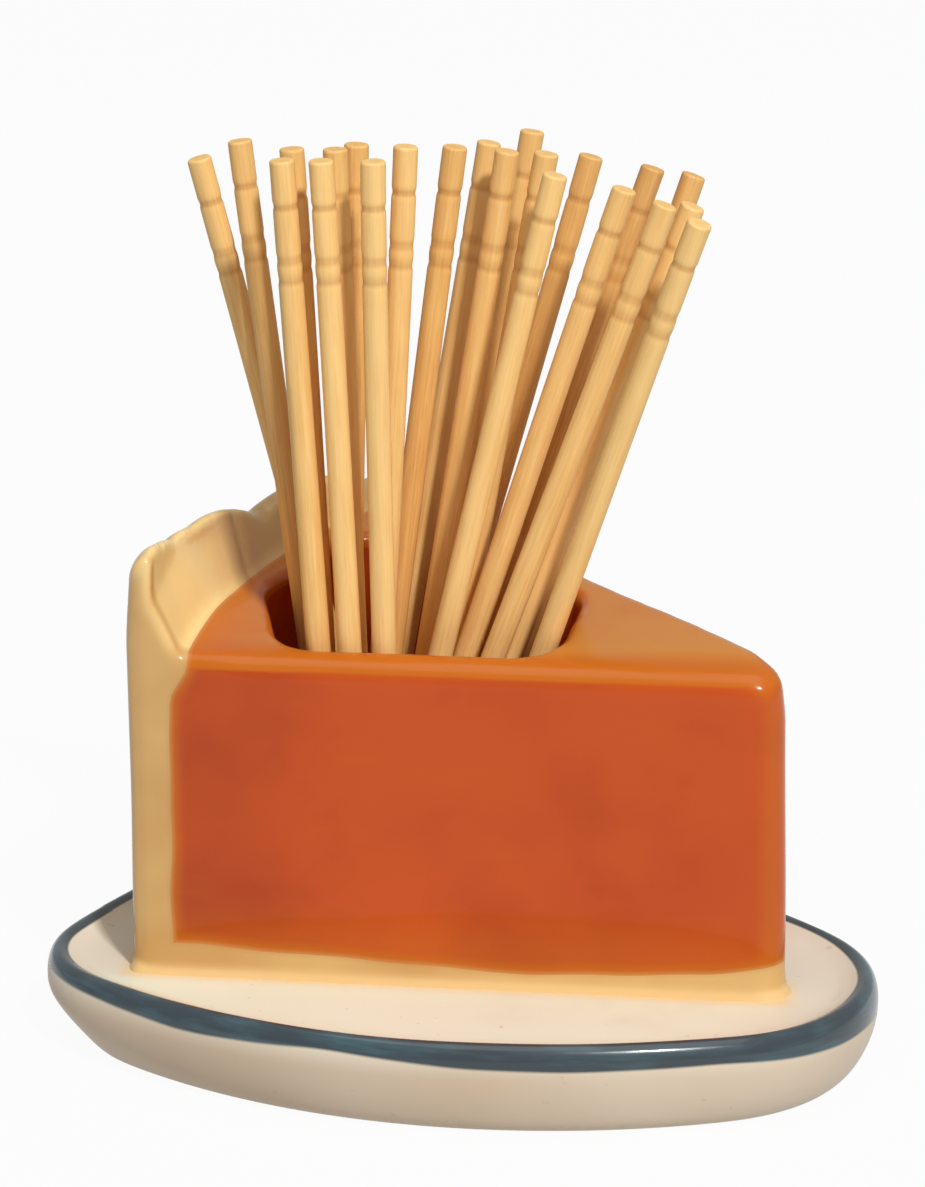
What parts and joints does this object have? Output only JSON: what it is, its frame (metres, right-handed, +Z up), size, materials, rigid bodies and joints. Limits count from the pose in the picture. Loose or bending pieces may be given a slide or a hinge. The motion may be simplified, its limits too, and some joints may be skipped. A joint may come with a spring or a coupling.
{
  "type": "toothpick holder",
  "caption": "Glazed ceramic toothpick holder shaped as a slice of pie on a small plate, with a well in its top and loose wooden picks standing in it.",
  "frame": {"origin": "on the table, under the middle of the plate's outline", "axes": "+X along the near cut face towards the slice's tip, +Y towards the slice's far side, +Z up"},
  "size_m": [0.0698, 0.0584, 0.0752],
  "materials": {
    "plate_glaze": "gloss off-white glaze with a painted dark rim band",
    "crust_glaze": "gloss pale crust glaze",
    "filling_glaze": "gloss orange glaze",
    "pick_wood": "plain, uncoated"
  },
  "bodies": {
    "holder": {"plate": "plate_glaze", "crust": "crust_glaze", "filling": "filling_glaze"},
    "toothpick_01": {"toothpick_01": "pick_wood"},
    "toothpick_02": {"toothpick_02": "pick_wood"},
    "toothpick_03": {"toothpick_03": "pick_wood"},
    "toothpick_04": {"toothpick_04": "pick_wood"},
    "toothpick_05": {"toothpick_05": "pick_wood"},
    "toothpick_06": {"toothpick_06": "pick_wood"},
    "toothpick_07": {"toothpick_07": "pick_wood"},
    "toothpick_08": {"toothpick_08": "pick_wood"},
    "toothpick_09": {"toothpick_09": "pick_wood"},
    "toothpick_10": {"toothpick_10": "pick_wood"},
    "toothpick_11": {"toothpick_11": "pick_wood"},
    "toothpick_12": {"toothpick_12": "pick_wood"},
    "toothpick_13": {"toothpick_13": "pick_wood"},
    "toothpick_14": {"toothpick_14": "pick_wood"},
    "toothpick_15": {"toothpick_15": "pick_wood"},
    "toothpick_16": {"toothpick_16": "pick_wood"},
    "toothpick_17": {"toothpick_17": "pick_wood"},
    "toothpick_18": {"toothpick_18": "pick_wood"},
    "toothpick_19": {"toothpick_19": "pick_wood"},
    "toothpick_20": {"toothpick_20": "pick_wood"},
    "toothpick_21": {"toothpick_21": "pick_wood"},
    "toothpick_22": {"toothpick_22": "pick_wood"}
  },
  "joints": [
    {"name": "toothpick_01_lift", "type": "slide", "parent": "holder", "child": "toothpick_01", "axis": [-0.0492, -0.0785, 0.9957], "range_m": [0, 0.034]},
    {"name": "toothpick_02_lift", "type": "slide", "parent": "holder", "child": "toothpick_02", "axis": [-0.0354, -0.0785, 0.9963], "range_m": [0, 0.034]},
    {"name": "toothpick_03_lift", "type": "slide", "parent": "holder", "child": "toothpick_03", "axis": [-0.0062, -0.0785, 0.9969], "range_m": [0, 0.034]},
    {"name": "toothpick_04_lift", "type": "slide", "parent": "holder", "child": "toothpick_04", "axis": [-0.0431, -0.0477, 0.9979], "range_m": [0, 0.034]},
    {"name": "toothpick_05_lift", "type": "slide", "parent": "holder", "child": "toothpick_05", "axis": [-0.0246, -0.0477, 0.9986], "range_m": [0, 0.034]},
    {"name": "toothpick_06_lift", "type": "slide", "parent": "holder", "child": "toothpick_06", "axis": [0.2277, -0.0477, 0.9726], "range_m": [0, 0.034]},
    {"name": "toothpick_07_lift", "type": "slide", "parent": "holder", "child": "toothpick_07", "axis": [0.34, -0.0477, 0.9392], "range_m": [0, 0.034]},
    {"name": "toothpick_08_lift", "type": "slide", "parent": "holder", "child": "toothpick_08", "axis": [0.32, -0.1615, 0.9335], "range_m": [0, 0.034]},
    {"name": "toothpick_09_lift", "type": "slide", "parent": "holder", "child": "toothpick_09", "axis": [0.0277, -0.0492, 0.9984], "range_m": [0, 0.034]},
    {"name": "toothpick_10_lift", "type": "slide", "parent": "holder", "child": "toothpick_10", "axis": [0.0569, -0.0492, 0.9972], "range_m": [0, 0.034]},
    {"name": "toothpick_11_lift", "type": "slide", "parent": "holder", "child": "toothpick_11", "axis": [0.3092, -0.0492, 0.9497], "range_m": [0, 0.034]},
    {"name": "toothpick_12_lift", "type": "slide", "parent": "holder", "child": "toothpick_12", "axis": [0.3615, -0.0492, 0.9311], "range_m": [0, 0.034]},
    {"name": "toothpick_13_lift", "type": "slide", "parent": "holder", "child": "toothpick_13", "axis": [-0.1169, -0.0446, 0.9921], "range_m": [0, 0.034]},
    {"name": "toothpick_14_lift", "type": "slide", "parent": "holder", "child": "toothpick_14", "axis": [0.1308, -0.0446, 0.9904], "range_m": [0, 0.034]},
    {"name": "toothpick_15_lift", "type": "slide", "parent": "holder", "child": "toothpick_15", "axis": [0.1585, -0.0446, 0.9864], "range_m": [0, 0.034]},
    {"name": "toothpick_16_lift", "type": "slide", "parent": "holder", "child": "toothpick_16", "axis": [0.1708, -0.0446, 0.9843], "range_m": [0, 0.034]},
    {"name": "toothpick_17_lift", "type": "slide", "parent": "holder", "child": "toothpick_17", "axis": [0.1692, -0.0185, 0.9854], "range_m": [0, 0.034]},
    {"name": "toothpick_18_lift", "type": "slide", "parent": "holder", "child": "toothpick_18", "axis": [0.2662, 0.0246, 0.9636], "range_m": [0, 0.034]},
    {"name": "toothpick_19_lift", "type": "slide", "parent": "holder", "child": "toothpick_19", "axis": [0.3108, 0.0246, 0.9502], "range_m": [0, 0.034]},
    {"name": "toothpick_20_lift", "type": "slide", "parent": "holder", "child": "toothpick_20", "axis": [0.3308, 0.0523, 0.9423], "range_m": [0, 0.034]},
    {"name": "toothpick_21_lift", "type": "slide", "parent": "holder", "child": "toothpick_21", "axis": [0.1523, 0.0123, 0.9883], "range_m": [0, 0.034]},
    {"name": "toothpick_22_lift", "type": "slide", "parent": "holder", "child": "toothpick_22", "axis": [-0.2215, -0.1246, 0.9672], "range_m": [0, 0.034]}
  ]
}
